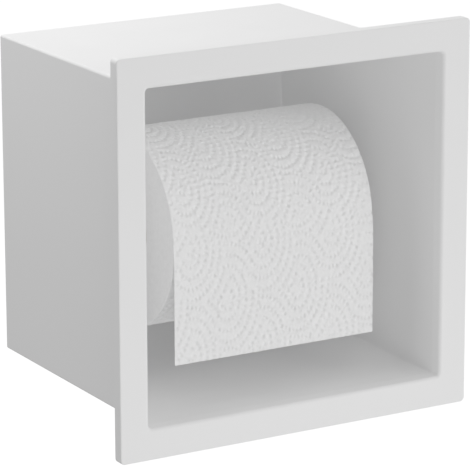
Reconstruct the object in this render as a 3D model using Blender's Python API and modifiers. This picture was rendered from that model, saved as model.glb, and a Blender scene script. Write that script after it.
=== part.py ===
"""Recessed toilet paper holder: a white sheet-metal box with a square front flange, let into the wall.

Frame: the origin is the centre of the flange's back plane, where it meets the wall. +X is to the right,
+Y goes into the wall and +Z is up, so the flange's face looks along -Y. All lengths are in metres.
"""

import math

import bmesh
import bpy
from mathutils import Matrix, Vector

# Driving dimensions of the wall box.
FLANGE_WIDTH = 0.160
FLANGE_DEPTH = 0.0048
BOX_WIDTH = 0.1336
BOX_DEPTH = 0.1195
SHEET = 0.0010
RIM_RADIUS = 0.0020
FOLD_RADIUS = 0.0008
GAP = 0.0003
PANEL_FRONT = BOX_DEPTH - 2 * SHEET
SEAL_INNER = 0.0705
SEAL_WIDTH = 0.0065
SEAL_DEPTH = 0.0034
SEAL_CORNER = 0.0020

# Where the spindle lies, and the roll that hangs from it.
SPINDLE_Y = 0.0528
SPINDLE_Z = 0.0018
SPINDLE_RADIUS = 0.0123
CORE_INNER = 0.0169
CORE_OUTER = 0.0178
ROLL_RADIUS = 0.0392
ROLL_LENGTH = 0.092
ROLL_Z = SPINDLE_Z - (CORE_INNER - SPINDLE_RADIUS - GAP)
TAIL_THICKNESS = 0.0004
TAIL_BOTTOM = -0.0494

# The yoke that carries the spindle, and what fastens it to the back panel.
ARM_OUTER_X = 0.059
ARM_HEIGHT = 0.020
YOKE_SHEET = 0.002
YOKE_BEND = 0.004
STUD_X = 0.030
STUD_RADIUS = 0.00195
STUD_END = 0.1100
STUD_CHAMFER = 0.0004
STUD_HOLE_RADIUS = STUD_RADIUS + GAP
WASHER_RADIUS = 0.0045
WASHER_THICKNESS = 0.0008
NUT_FLATS = 0.007
NUT_HEIGHT = 0.0032

# Bushes in the yoke's arms, and the spindle's two halves. X is measured outward from the centre.
BUSH_FLANGE_RADIUS = 0.007
BUSH_BODY_RADIUS = 0.0047
BUSH_HOLE_RADIUS = BUSH_BODY_RADIUS + GAP
BUSH_FLANGE = 0.001
BUSH_END_X = 0.0610
PIN_RADIUS = 0.0030
PIN_END_X = 0.0598
PIN_END_PLAY = 0.0005
PIN_BORE_RADIUS = PIN_RADIUS + GAP
CAP_FACE_X = 0.0552
CAP_THICKNESS = 0.003
PLUG_LENGTH = 0.008
CAP_EDGE = 0.0008
TUBE_WALL = 0.0008
OUTER_TUBE_END_X = 0.014
OUTER_TUBE_LIP = 0.0012
INNER_TUBE_RADIUS = 0.0106
INNER_TUBE_START_X = 0.002
INNER_TUBE_STEP_X = 0.038
COLLAR_LENGTH = 0.003
SPRING_WIRE = 0.0012
SPRING_TURNS = 12
SPRING_POINTS_PER_TURN = 14
SPRING_COIL_GAP = 0.0002

ROUND_STEPS = 40
ROLL_STEPS = 96

ALONG_X = Matrix.Rotation(math.radians(90), 4, "Y")
ALONG_MINUS_X = Matrix.Rotation(math.radians(-90), 4, "Y")
INTO_WALL = Matrix.Rotation(math.radians(-90), 4, "X")
OUT_OF_WALL = Matrix.Rotation(math.radians(90), 4, "X")


def clear_scene():
    for obj in list(bpy.data.objects):
        bpy.data.objects.remove(obj, do_unlink=True)


def make_collection(name):
    collection = bpy.data.collections.new(name)
    bpy.context.scene.collection.children.link(collection)
    return collection


def make_material(name, colour, roughness, metallic=0.0):
    material = bpy.data.materials.new(name)
    material.use_nodes = True
    shader = material.node_tree.nodes["Principled BSDF"]
    shader.inputs["Base Color"].default_value = (*colour, 1.0)
    shader.inputs["Roughness"].default_value = roughness
    shader.inputs["Metallic"].default_value = metallic
    return material


def add_object(name, mesh, material, matrix=None):
    """Link a mesh under its node's name, with its own copy of the material."""
    obj = bpy.data.objects.new(name, mesh)
    PARTS.objects.link(obj)
    own = material.copy()
    own.name = name
    mesh.materials.clear()
    mesh.materials.append(own)
    obj.matrix_world = matrix if matrix is not None else Matrix.Identity(4)
    return obj


def smooth(obj, angle_deg=35):
    """Round faces shade smooth and real edges stay sharp."""
    obj.data.shade_smooth()
    obj.data.set_sharp_from_angle(angle=math.radians(angle_deg))


def arc(centre_x, centre_y, radius, start_deg, end_deg, steps):
    points = []
    for i in range(steps + 1):
        angle = math.radians(start_deg + (end_deg - start_deg) * i / steps)
        points.append((centre_x + radius * math.cos(angle), centre_y + radius * math.sin(angle)))
    return points


def rounded_square(half, radius, steps=5):
    """Corner points of a square of half width `half`, its corners rounded."""
    inner = half - radius
    points = []
    for quarter in range(4):
        start = 90 * quarter
        sign_x = 1 if quarter in (0, 3) else -1
        sign_y = 1 if quarter in (0, 1) else -1
        points += arc(sign_x * inner, sign_y * inner, radius, start, start + 90, steps)
    return points


def circle(radius, steps):
    return arc(0, 0, radius, 0, 360 - 360 / steps, steps - 1)


def outline_mesh(name, loops, thickness):
    """A flat plate from closed outlines; the second and later loops are holes."""
    curve = bpy.data.curves.new(name, "CURVE")
    curve.dimensions = "2D"
    curve.fill_mode = "BOTH"
    curve.extrude = thickness / 2
    for loop in loops:
        spline = curve.splines.new("POLY")
        spline.points.add(len(loop) - 1)
        for point, (x, y) in zip(spline.points, loop):
            point.co = (x, y, 0, 1)
        spline.use_cyclic_u = True
    return mesh_from_curve(name, curve)


def mesh_from_curve(name, curve):
    """The curve as a closed mesh, its caps welded to its sides."""
    source = bpy.data.objects.new(name + "_curve", curve)
    bpy.context.scene.collection.objects.link(source)
    evaluated = source.evaluated_get(bpy.context.evaluated_depsgraph_get())
    mesh = bpy.data.meshes.new_from_object(evaluated)
    mesh.name = name
    bpy.data.objects.remove(source, do_unlink=True)
    bm = bmesh.new()
    bm.from_mesh(mesh)
    bmesh.ops.remove_doubles(bm, verts=bm.verts, dist=1e-6)
    bmesh.ops.recalc_face_normals(bm, faces=bm.faces)
    bm.to_mesh(mesh)
    bm.free()
    return mesh


def turned(name, profile, material, matrix, steps=ROUND_STEPS, closed=True):
    """Turn a profile of (radius, height) points, running down its outer side, about the local Z axis."""
    mesh = bpy.data.meshes.new(name)
    vertices = [(radius, 0, height) for radius, height in profile]
    edges = [(i, i + 1) for i in range(len(profile) - 1)]
    if closed:
        edges.append((len(profile) - 1, 0))
    mesh.from_pydata(vertices, edges, [])
    obj = add_object(name, mesh, material, matrix)
    screw = obj.modifiers.new("Screw", "SCREW")
    screw.axis = "Z"
    screw.steps = steps
    screw.render_steps = steps
    screw.use_merge_vertices = True
    screw.merge_threshold = 0.00001
    screw.use_smooth_shade = True
    return obj


def cutter(name, mesh, matrix):
    obj = bpy.data.objects.new(name, mesh)
    CUTTERS.objects.link(obj)
    obj.matrix_world = matrix
    obj.hide_render = True
    obj.display_type = "WIRE"
    return obj


def boolean(obj, tool, operation):
    modifier = obj.modifiers.new(tool.name, "BOOLEAN")
    modifier.operation = operation
    modifier.object = tool
    modifier.solver = "EXACT"


def cylinder_mesh(name, radius, length, steps):
    bm = bmesh.new()
    bmesh.ops.create_cone(
        bm, cap_ends=True, segments=steps, radius1=radius, radius2=radius, depth=length
    )
    mesh = bpy.data.meshes.new(name)
    bm.to_mesh(mesh)
    bm.free()
    return mesh


def boundary_edges(bm, outside):
    """The face's outer edges if `outside`, or those round its opening."""
    limit = FLANGE_WIDTH / 2 - SHEET
    found = []
    for edge in bm.edges:
        middle = (edge.verts[0].co + edge.verts[1].co) / 2
        if edge.is_boundary and (max(abs(middle.x), abs(middle.z)) > limit) == outside:
            found.append(edge)
    return found


def fold_back(bm, edges, depth):
    """Fold a return of this depth back from the given edges."""
    made = bmesh.ops.extrude_edge_only(bm, edges=edges)["geom"]
    verts = [item for item in made if isinstance(item, bmesh.types.BMVert)]
    bmesh.ops.translate(bm, verts=verts, vec=(0, depth, 0))


def front_flange():
    """A pressed frame: a flat face, an outer return to the wall and an inner return that meets the box."""
    bm = bmesh.new()
    bmesh.ops.create_grid(bm, x_segments=1, y_segments=1, size=FLANGE_WIDTH / 2)
    bmesh.ops.transform(bm, matrix=OUT_OF_WALL, verts=bm.verts)
    bmesh.ops.translate(bm, verts=bm.verts, vec=(0, -FLANGE_DEPTH, 0))
    centre = bm.faces[:]
    opening = BOX_WIDTH / 2 - SHEET
    bmesh.ops.inset_region(
        bm,
        faces=centre,
        thickness=FLANGE_WIDTH / 2 - opening,
        use_boundary=True,
        use_even_offset=True,
    )
    bmesh.ops.delete(bm, geom=centre, context="FACES")
    outer_edges = boundary_edges(bm, outside=True)
    inner_edges = boundary_edges(bm, outside=False)
    fold_back(bm, outer_edges, FLANGE_DEPTH)
    fold_back(bm, inner_edges, FLANGE_DEPTH - GAP)
    weight = bm.edges.layers.float.new("bevel_weight_edge")
    for edge in bm.edges:
        along = (edge.verts[0].co - edge.verts[1].co).normalized()
        rim = edge in inner_edges
        if not edge.is_boundary and (rim or edge in outer_edges or abs(along.y) > 0.9):
            edge[weight] = 1.0 if rim else FOLD_RADIUS / RIM_RADIUS
    mesh = bpy.data.meshes.new("front_flange")
    bm.to_mesh(mesh)
    bm.free()
    obj = add_object("front_flange", mesh, WHITE_PAINT)
    bevel = obj.modifiers.new("Folds", "BEVEL")
    bevel.limit_method = "WEIGHT"
    bevel.width = RIM_RADIUS
    bevel.segments = 4
    shell = obj.modifiers.new("Sheet", "SOLIDIFY")
    shell.thickness = SHEET
    shell.offset = -1
    shell.use_even_offset = True
    smooth(obj)


def box_wrap():
    """The box's four walls, one strip of sheet folded round and open at both ends."""
    half = BOX_WIDTH / 2
    outer = rounded_square(half, FOLD_RADIUS + SHEET)
    inner = rounded_square(half - SHEET, FOLD_RADIUS)
    mesh = outline_mesh("box_wrap", [outer, inner], BOX_DEPTH)
    middle = Matrix.Translation((0, BOX_DEPTH / 2, 0))
    smooth(add_object("box_wrap", mesh, WHITE_PAINT, middle @ INTO_WALL))


def back_panel():
    """The plate that closes the box, set a sheet's thickness inside the rear edge."""
    outline = rounded_square(BOX_WIDTH / 2 - SHEET - GAP, FOLD_RADIUS)
    mesh = outline_mesh("back_panel", [outline], SHEET)
    middle = Matrix.Translation((0, PANEL_FRONT + SHEET / 2, 0))
    smooth(add_object("back_panel", mesh, WHITE_PAINT, middle @ INTO_WALL))


def wall_seal():
    """A foam strip in the channel behind the flange, flush with the flange's back plane."""
    outer = rounded_square(SEAL_INNER + SEAL_WIDTH, SEAL_CORNER)
    inner = rounded_square(SEAL_INNER, SEAL_CORNER)
    mesh = outline_mesh("wall_seal", [outer, inner], SEAL_DEPTH)
    middle = Matrix.Translation((0, -SEAL_DEPTH / 2, 0))
    smooth(add_object("wall_seal", mesh, GREY_FOAM, middle @ INTO_WALL))


def yoke_plan():
    """The yoke seen from above: two arms and the web behind the roll, as (x, y) points."""
    web_back = PANEL_FRONT - GAP
    web_front = web_back - YOKE_SHEET
    arm_inner = ARM_OUTER_X - YOKE_SHEET
    front = SPINDLE_Y - ARM_HEIGHT / 2
    bend_x = ARM_OUTER_X - YOKE_BEND
    bend_y = web_back - YOKE_BEND
    inner_bend = YOKE_BEND - YOKE_SHEET
    points = [(arm_inner, front), (ARM_OUTER_X, front)]
    points += arc(bend_x, bend_y, YOKE_BEND, 0, 90, 5)
    points += arc(-bend_x, bend_y, YOKE_BEND, 90, 180, 5)
    points += [(-ARM_OUTER_X, front), (-arm_inner, front)]
    points += arc(-bend_x, web_front - inner_bend, inner_bend, 180, 90, 4)
    points += arc(bend_x, web_front - inner_bend, inner_bend, 90, 0, 4)
    return points


def roll_yoke():
    """A bent strip on the back panel whose two arms hold the spindle at their rounded ends."""
    mesh = outline_mesh("roll_yoke", [yoke_plan()], ARM_HEIGHT)
    obj = add_object("roll_yoke", mesh, WHITE_PAINT, Matrix.Translation((0, 0, SPINDLE_Z)))
    radius = ARM_HEIGHT / 2
    side = arc(SPINDLE_Y, SPINDLE_Z, radius, 90, 270, 16)
    side += [(BOX_DEPTH, SPINDLE_Z - 2 * radius), (BOX_DEPTH, SPINDLE_Z + 2 * radius)]
    turn = Matrix(((0, 0, 1, 0), (1, 0, 0, 0), (0, 1, 0, 0), (0, 0, 0, 1)))
    keep = outline_mesh("arm_ends", [side], 2.5 * ARM_OUTER_X)
    boolean(obj, cutter("arm_ends", keep, turn), "INTERSECT")
    hole = cylinder_mesh("bush_holes", BUSH_HOLE_RADIUS, 3 * ARM_OUTER_X, 32)
    axis = Matrix.Translation((0, SPINDLE_Y, SPINDLE_Z)) @ ALONG_X
    boolean(obj, cutter("bush_holes", hole, axis), "DIFFERENCE")
    for side_name, x in SIDES.items():
        name = f"stud_hole_{side_name}"
        hole = cylinder_mesh(name, STUD_HOLE_RADIUS, 5 * YOKE_SHEET, 24)
        place = Matrix.Translation((x * STUD_X, PANEL_FRONT, SPINDLE_Z)) @ INTO_WALL
        boolean(obj, cutter(name, hole, place), "DIFFERENCE")
    smooth(obj)


def yoke_fastening(side_name, sign):
    """One weld stud on the back panel, with its washer and nut."""
    web_front = PANEL_FRONT - GAP - YOKE_SHEET
    washer_front = web_front - GAP - WASHER_THICKNESS
    nut_front = washer_front - GAP - NUT_HEIGHT
    along = Matrix.Translation((sign * STUD_X, 0, SPINDLE_Z)) @ OUT_OF_WALL
    base = -(PANEL_FRONT - GAP)
    end = -STUD_END
    profile = [(0, end), (STUD_RADIUS - STUD_CHAMFER, end), (STUD_RADIUS, end - STUD_CHAMFER)]
    profile += [(STUD_RADIUS, base), (0, base)]
    turned(f"weld_stud_{side_name}", profile, STEEL, along, steps=24, closed=False)
    washer = outline_mesh(
        f"washer_{side_name}",
        [circle(WASHER_RADIUS, 32), circle(STUD_HOLE_RADIUS, 24)],
        WASHER_THICKNESS,
    )
    place = Matrix.Translation((sign * STUD_X, washer_front + WASHER_THICKNESS / 2, SPINDLE_Z))
    smooth(add_object(f"washer_{side_name}", washer, STEEL, place @ INTO_WALL))
    corner = NUT_FLATS / math.sqrt(3)
    nut = outline_mesh(
        f"yoke_nut_{side_name}", [circle(corner, 6), circle(STUD_HOLE_RADIUS, 24)], NUT_HEIGHT
    )
    place = Matrix.Translation((sign * STUD_X, nut_front + NUT_HEIGHT / 2, SPINDLE_Z))
    smooth(add_object(f"yoke_nut_{side_name}", nut, STEEL, place @ INTO_WALL))


def spindle_axis(sign):
    """Local Z along the spindle, pointing outward on the given side."""
    turn = ALONG_X if sign > 0 else ALONG_MINUS_X
    return Matrix.Translation((0, SPINDLE_Y, SPINDLE_Z)) @ turn


def pin_bush(side_name, sign):
    """A nylon bush in the arm, its blind bore open towards the spindle."""
    face = ARM_OUTER_X - YOKE_SHEET - GAP - BUSH_FLANGE
    floor = PIN_END_X + PIN_END_PLAY
    profile = [
        (0, BUSH_END_X),
        (BUSH_BODY_RADIUS, BUSH_END_X),
        (BUSH_BODY_RADIUS, face + BUSH_FLANGE),
        (BUSH_FLANGE_RADIUS, face + BUSH_FLANGE),
        (BUSH_FLANGE_RADIUS, face),
        (PIN_BORE_RADIUS, face),
        (PIN_BORE_RADIUS, floor),
        (0, floor),
    ]
    turned(f"pin_bush_{side_name}", profile, NYLON, spindle_axis(sign), closed=False)


def end_cap(side_name, sign):
    """A spindle end: the nose pin, the rim that covers the tube's edge, and the plug inside the tube."""
    rim_back = CAP_FACE_X - CAP_THICKNESS
    plug = SPINDLE_RADIUS - TUBE_WALL - GAP
    edge = CAP_EDGE
    profile = [(0, PIN_END_X), (PIN_RADIUS - edge, PIN_END_X), (PIN_RADIUS, PIN_END_X - edge)]
    profile += [(PIN_RADIUS, CAP_FACE_X), (SPINDLE_RADIUS - edge, CAP_FACE_X)]
    profile += [(SPINDLE_RADIUS, CAP_FACE_X - edge), (SPINDLE_RADIUS, rim_back)]
    profile += [(plug, rim_back), (plug, rim_back - PLUG_LENGTH), (0, rim_back - PLUG_LENGTH)]
    turned(f"spindle_cap_{side_name}", profile, GLOSS_PLASTIC, spindle_axis(sign), closed=False)


def spindle_outer_tube():
    """The wider half, on the left, with a lip turned in at its open end."""
    left = -(CAP_FACE_X - CAP_THICKNESS - GAP)
    bore = SPINDLE_RADIUS - TUBE_WALL
    lip = INNER_TUBE_RADIUS + GAP
    profile = [
        (SPINDLE_RADIUS, OUTER_TUBE_END_X),
        (SPINDLE_RADIUS, left),
        (bore, left),
        (bore, OUTER_TUBE_END_X - OUTER_TUBE_LIP),
        (lip, OUTER_TUBE_END_X - OUTER_TUBE_LIP),
        (lip, OUTER_TUBE_END_X),
    ]
    turned("spindle_outer_tube", profile, CHROME, spindle_axis(1))


def spindle_inner_tube():
    """The sliding half, on the right: a collar inside the outer tube and a full-width grip end."""
    right = CAP_FACE_X - CAP_THICKNESS - GAP
    start = INNER_TUBE_START_X
    collar = SPINDLE_RADIUS - TUBE_WALL - GAP
    step_rise = SPINDLE_RADIUS - INNER_TUBE_RADIUS
    step_end = INNER_TUBE_STEP_X - step_rise
    profile = [
        (SPINDLE_RADIUS, right),
        (SPINDLE_RADIUS, INNER_TUBE_STEP_X),
        (INNER_TUBE_RADIUS, step_end),
        (INNER_TUBE_RADIUS, start + COLLAR_LENGTH),
        (collar, start + COLLAR_LENGTH),
        (collar, start),
        (INNER_TUBE_RADIUS - TUBE_WALL, start),
        (INNER_TUBE_RADIUS - TUBE_WALL, step_end),
        (SPINDLE_RADIUS - TUBE_WALL, INNER_TUBE_STEP_X),
        (SPINDLE_RADIUS - TUBE_WALL, right),
    ]
    turned("spindle_inner_tube", profile, CHROME, spindle_axis(1))


def spring_point(turn, start, length):
    """A point on the spring's centre line; its first and last turns lie closed."""
    closed_pitch = SPRING_WIRE + SPRING_COIL_GAP
    open_length = length - 2 * closed_pitch
    along = closed_pitch * turn
    if turn > 1:
        open_turns = min(turn, SPRING_TURNS - 1) - 1
        along = closed_pitch + open_length * open_turns / (SPRING_TURNS - 2)
    if turn > SPRING_TURNS - 1:
        along += closed_pitch * (turn - SPRING_TURNS + 1)
    radius = INNER_TUBE_RADIUS - TUBE_WALL / 4
    angle = 2 * math.pi * turn
    return Vector(
        (start + along, SPINDLE_Y + radius * math.cos(angle), SPINDLE_Z + radius * math.sin(angle))
    )


def spindle_spring():
    """The coil that pushes the halves apart, from the left cap's plug to the inner tube's collar."""
    plug_end = -(CAP_FACE_X - CAP_THICKNESS - PLUG_LENGTH)
    start = plug_end + GAP + SPRING_WIRE / 2
    length = INNER_TUBE_START_X - GAP - SPRING_WIRE / 2 - start
    count = SPRING_TURNS * SPRING_POINTS_PER_TURN
    curve = bpy.data.curves.new("spindle_spring", "CURVE")
    curve.dimensions = "3D"
    curve.bevel_depth = SPRING_WIRE / 2
    curve.bevel_resolution = 2
    curve.use_fill_caps = True
    spline = curve.splines.new("POLY")
    spline.points.add(count)
    for i, point in enumerate(spline.points):
        position = spring_point(i / SPRING_POINTS_PER_TURN, start, length)
        point.co = (*position, 1)
    smooth(add_object("spindle_spring", mesh_from_curve("spindle_spring", curve), STEEL), 60)


def roll_axis():
    return Matrix.Translation((0, SPINDLE_Y, ROLL_Z)) @ ALONG_X


def tube_profile(outer, inner, length):
    half = length / 2
    return [(outer, half), (outer, -half), (inner, -half), (inner, half)]


def paper():
    """The cardboard core, the wound paper on it, and the free end that hangs in front."""
    core = tube_profile(CORE_OUTER, CORE_INNER, ROLL_LENGTH)
    turned("cardboard_core", core, CARDBOARD, roll_axis(), steps=64)
    wound = tube_profile(ROLL_RADIUS, CORE_OUTER + GAP, ROLL_LENGTH)
    turned("paper_roll", wound, TISSUE, roll_axis(), steps=ROLL_STEPS)
    front = SPINDLE_Y - ROLL_RADIUS - GAP - TAIL_THICKNESS
    half = ROLL_LENGTH / 2
    low = Vector((-half, front, TAIL_BOTTOM))
    high = Vector((half, front + TAIL_THICKNESS, ROLL_Z))
    bm = bmesh.new()
    bmesh.ops.create_cube(bm, size=1)
    bmesh.ops.scale(bm, vec=high - low, verts=bm.verts)
    bmesh.ops.translate(bm, vec=(high + low) / 2, verts=bm.verts)
    mesh = bpy.data.meshes.new("paper_tail")
    bm.to_mesh(mesh)
    bm.free()
    add_object("paper_tail", mesh, TISSUE)


clear_scene()
PARTS = make_collection("toilet_paper_holder")
CUTTERS = make_collection("cutters")
SIDES = {"left": -1, "right": 1}
WHITE_PAINT = make_material("white_paint", (0.88, 0.88, 0.88), 0.45)
GREY_FOAM = make_material("grey_foam", (0.25, 0.25, 0.26), 0.9)
STEEL = make_material("steel", (0.62, 0.62, 0.60), 0.35, 1.0)
NYLON = make_material("nylon", (0.78, 0.77, 0.74), 0.5)
GLOSS_PLASTIC = make_material("gloss_plastic", (0.82, 0.82, 0.81), 0.25)
CHROME = make_material("chrome", (0.80, 0.80, 0.81), 0.08, 1.0)
CARDBOARD = make_material("cardboard", (0.45, 0.33, 0.22), 0.85)
TISSUE = make_material("tissue", (0.88, 0.88, 0.88), 0.95)

front_flange()
box_wrap()
back_panel()
wall_seal()
roll_yoke()
for side_name, sign in SIDES.items():
    yoke_fastening(side_name, sign)
    pin_bush(side_name, sign)
    end_cap(side_name, sign)
spindle_outer_tube()
spindle_inner_tube()
spindle_spring()
paper()
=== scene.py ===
"""Looks of the recessed toilet paper holder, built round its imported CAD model.

Everything is in metres in the CAD's frame: +X to the right, +Y into the wall, +Z up, and the origin at the
centre of the flange's back plane. Each piece stands for a CAD node and takes its size from that node's box.
"""

import math

import bmesh
import bpy
import numpy as np
from mathutils import Matrix, Vector


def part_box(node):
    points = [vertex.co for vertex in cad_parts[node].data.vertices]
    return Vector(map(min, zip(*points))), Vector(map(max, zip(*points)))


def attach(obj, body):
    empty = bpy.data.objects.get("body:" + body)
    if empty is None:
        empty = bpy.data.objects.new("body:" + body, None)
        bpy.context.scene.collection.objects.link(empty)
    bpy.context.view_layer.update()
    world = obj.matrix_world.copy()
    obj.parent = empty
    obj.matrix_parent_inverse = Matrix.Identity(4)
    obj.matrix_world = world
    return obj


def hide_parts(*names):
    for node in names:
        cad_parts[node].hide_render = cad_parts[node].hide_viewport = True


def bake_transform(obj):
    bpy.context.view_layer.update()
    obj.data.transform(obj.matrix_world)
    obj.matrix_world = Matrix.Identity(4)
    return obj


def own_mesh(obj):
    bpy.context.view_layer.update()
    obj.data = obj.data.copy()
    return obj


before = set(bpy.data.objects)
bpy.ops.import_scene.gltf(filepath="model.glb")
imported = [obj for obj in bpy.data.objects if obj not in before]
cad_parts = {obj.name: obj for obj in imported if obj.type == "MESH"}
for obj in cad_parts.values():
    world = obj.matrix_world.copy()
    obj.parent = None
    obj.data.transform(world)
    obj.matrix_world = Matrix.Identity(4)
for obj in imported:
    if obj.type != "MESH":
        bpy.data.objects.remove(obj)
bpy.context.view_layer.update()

MM = 0.001

# Sheet-metal box, from the frame.
FLANGE_LOW, FLANGE_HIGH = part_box("front_flange")
WRAP_LOW, WRAP_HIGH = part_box("box_wrap")
PANEL_LOW, PANEL_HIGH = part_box("back_panel")
SEAL_LOW, SEAL_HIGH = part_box("wall_seal")
FLANGE_HALF = FLANGE_HIGH.x
FACE_Y = FLANGE_LOW.y
WALL_HALF = WRAP_HIGH.x
REAR_Y = WRAP_HIGH.y
SHEET = PANEL_HIGH.y - PANEL_LOW.y
WALL_THICKNESS = 0.4 * MM
WALL_SPLAY = 0.5 * MM
WALL_INSIDE = WALL_HALF - WALL_THICKNESS
OPENING_HALF = 67.3 * MM
RIM_RADIUS = 1.6 * MM
FOLD_RADIUS = 0.6 * MM
OPENING_CORNER = 1.6 * MM
WALL_CORNER = 0.5 * MM
OUTER_CORNER = 2.0 * MM
EDGE_ROUND = 0.25 * MM
COAT_FILLET = 0.7 * MM
SEAL_WIDTH = 6.5 * MM
SEAL_CORNER = 2.0 * MM
SEAL_EDGE = 0.5 * MM

# Spindle and yoke, from the frame.
CAP_LOW, CAP_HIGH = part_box("spindle_cap_right")
SLEEVE_LOW, SLEEVE_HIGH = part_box("spindle_outer_tube")
SLIDE_LOW, SLIDE_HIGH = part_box("spindle_inner_tube")
SPRING_LOW, SPRING_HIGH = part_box("spindle_spring")
YOKE_LOW, YOKE_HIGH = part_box("roll_yoke")
BUSH_LOW, BUSH_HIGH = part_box("pin_bush_right")
STUD_LOW, STUD_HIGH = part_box("weld_stud_right")
WASHER_LOW, WASHER_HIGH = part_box("washer_right")
NUT_LOW, NUT_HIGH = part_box("yoke_nut_right")
SPINDLE = (CAP_LOW + CAP_HIGH) / 2
SPINDLE_RADIUS = (SLEEVE_HIGH.z - SLEEVE_LOW.z) / 2
TUBE_WALL = 0.8 * MM
SLIDE_RADIUS = 10.6 * MM
SLIDE_STEP_X = 38 * MM
COLLAR_LENGTH = 3 * MM
PIN_RADIUS = 3 * MM
PIN_END_PLAY = 0.5 * MM
CLEARANCE = 0.3 * MM
CAP_RIM = 3 * MM
YOKE_SHEET = 2 * MM
YOKE_BEND = 4 * MM
YOKE_EDGE = 0.3 * MM
BUSH_BODY_RADIUS = 4.7 * MM
THREAD_PITCH = 0.7 * MM
THREAD_DEPTH = 0.40 * MM
WASHER_CLEARANCE = 0.15 * MM
WASHER_EDGE = 0.15 * MM
NUT_CLEARANCE = 0.05 * MM
SPRING_WIRE = 1.2 * MM
SPRING_TURNS = 12
SPRING_END_GAP = 0.2 * MM

# Paper, from the frame.
CORE_LOW, CORE_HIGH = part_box("cardboard_core")
TAIL_LOW, TAIL_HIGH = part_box("paper_tail")
ROLL_LOW, ROLL_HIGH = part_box("paper_roll")
ROLL_AXIS = (ROLL_LOW + ROLL_HIGH) / 2
ROLL_HALF = ROLL_HIGH.x
CORE_OUTER = (CORE_HIGH.z - CORE_LOW.z) / 2
CORE_WALL = 0.9 * MM
CORE_INSET = 0.3 * MM
CORE_CHAMFER = 0.4 * MM
SEAM_LEAD = 74 * MM
SEAM_DEPTH = 0.16 * MM
SEAM_WIDTH = 0.7 * MM
PLY_STEP = 0.10 * MM
SHEET_DEPTH = 0.1 * MM
PAPER_RADIUS = ROLL_AXIS.y - (TAIL_LOW.y + SHEET_DEPTH)
ROLL_TURN = math.pi * PAPER_RADIUS
PAPER_THICKNESS = 0.16 * MM
OVERLAP = 2 * MM
OVERLAP_SUNK = 0.12 * MM
LIFT = 0.5 * MM
LIFT_LENGTH = 8 * MM
CORE_GAP = 0.05 * MM
LAYER_STEP = 0.14 * MM
LAYER_WANDER = 0.05 * MM
WINDING_EDGE = 0.5 * MM
WINDING_CELL = 0.42 * MM
FREE_END_CELL = 0.40 * MM

# Embossing of the paper: dots on rings round staggered centres, each owning a fan and a crest of them.
RING_COLUMN = 16.25 * MM
RING_STEP = 2.95 * MM
RING_LIMIT = 21 * MM
FIRST_RING = (1.30 * MM, 2.85 * MM)
# What a centre owns: the region's middle from the centre along x and s, its half width and half height.
FAN = (6.9 * MM, 6.5 * MM, 11.0 * MM, 7.0 * MM)
CREST = (4.4 * MM, -9.4 * MM, 7.2 * MM, 5.5 * MM)
# How the centres lie: x and s of one of them, the step between rows, and the rings' stretch along s.
ON_ROLL = (-6.45 * MM, -23.25 * MM, 19.75 * MM, 1.40)
ON_FREE_END = (-6.45 * MM, 1.5 * MM, 21.5 * MM, 1.53)
WAVE_BREAK = -6.5 * MM
DOT_STEP = 1.77 * MM
DOT_GAP = 1.3 * MM
DOT_PHASE = 0.07
DOT_SIZE = 0.74 * MM
DOT_DEPTH = 0.46 * MM
# Painted shade: the grey that the paper's colour is mixed towards in the dents, darker with their depth.
DENT_SHADE_GREY = (0.85, 0.85, 0.85)
DENT_BUMP = 0.39 * MM
PEBBLES = 20000
PEBBLE_SIZE = 0.46 * MM
PEBBLE_HEIGHT = 0.15 * MM
CUT_EDGE = 0.7 * MM

# Camera: it looks at CAMERA_TARGET from this direction, in degrees, and this distance.
CAMERA_AZIMUTH = -30.359
CAMERA_ELEVATION = 14.889
CAMERA_ROLL = -0.16
CAMERA_DISTANCE = 1.262
CAMERA_TARGET = Vector((-0.02591, 0.0, 0.00386))
CAMERA_LENS = 248.74
SENSOR_WIDTH = 36.0
CAMERA_REACH = 30.0
VIEW_GAMMA = 2.6

FLOOR_Z = -0.30
FLOOR_SIZE = 30.0
FLOOR_GLOW = 0.0
FLOOR_GLOW_SEEN = 1.0
WORLD_LIGHT = 0.03

# Soft lights: azimuth and elevation in degrees, distance and size in metres, power in watts.
SOFTBOXES = {
    "front_right": (45, 5, 1.8, 1.2, 8.42),
    "front_high": (0, 50, 1.8, 1.2, 2.16),
    "rear_left": (-150, 60, 0.5, 0.3, 1.42),
    "right": (65, 15, 1.8, 1.2, 0.86),
    "left_floor": (-30, -22, 0.75, 0.4, 0.49),
    "left_low": (-20, -12, 0.9, 0.5, 0.32),
    "top": (-15, 70, 1.2, 0.8, 0.28),
    "near_floor": (15, -30, 0.42, 0.25, 0.25),
    "front": (30, 20, 1.8, 1.2, 0.21),
    "front_low": (25, -3, 1.8, 0.8, 0.12),
    "left_side": (-120, 35, 0.5, 0.2, 0.07),
}


# ---------------------------------------------------------------- mesh tools


def link(name, mesh):
    obj = bpy.data.objects.new(name, mesh)
    bpy.context.scene.collection.objects.link(obj)
    return obj


def signed_volume(mesh):
    mesh.calc_loop_triangles()
    corners = np.zeros(len(mesh.loop_triangles) * 3, np.int32)
    mesh.loop_triangles.foreach_get("vertices", corners)
    points = np.zeros(len(mesh.vertices) * 3)
    mesh.vertices.foreach_get("co", points)
    a, b, c = (points.reshape(-1, 3)[corners.reshape(-1, 3)[:, i]] for i in range(3))
    return np.einsum("ij,ij->i", a, np.cross(b, c)).sum() / 6


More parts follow.
